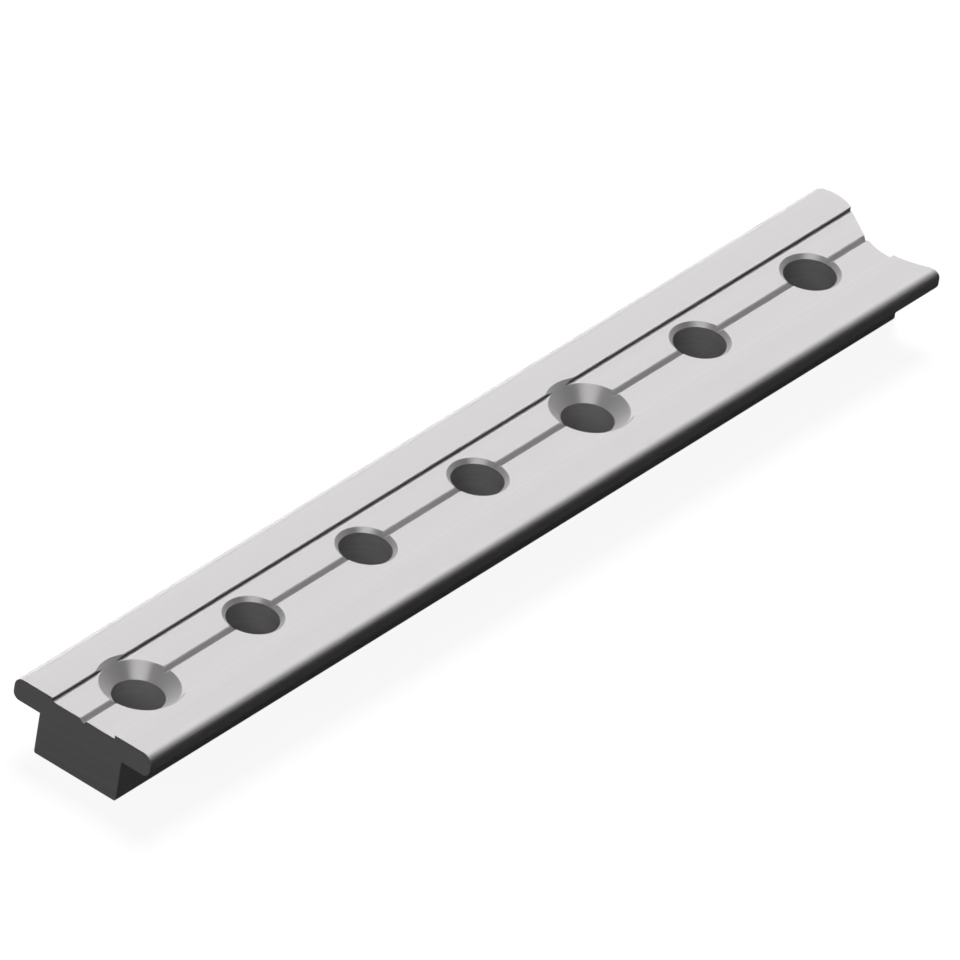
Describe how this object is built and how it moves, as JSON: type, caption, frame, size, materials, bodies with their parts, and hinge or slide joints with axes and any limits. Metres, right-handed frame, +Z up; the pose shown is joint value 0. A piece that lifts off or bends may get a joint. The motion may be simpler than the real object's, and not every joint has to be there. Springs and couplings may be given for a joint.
{
  "type": "sail track section",
  "caption": "Length of T-shaped sail track with a shallow recessed top, pin-stop holes along its middle and countersunk fastener holes for bolting it to a deck.",
  "frame": {"origin": "axis of the middle hole, at the foot of the stem", "axes": "+X along the track, from the square end to the wavy end; +Y across the head; +Z up, out of the recessed top"},
  "size_m": [0.1794, 0.025, 0.0106],
  "materials": {
    "aluminium": "satin"
  },
  "bodies": {
    "root": {"track_section": "aluminium"}
  },
  "joints": []
}
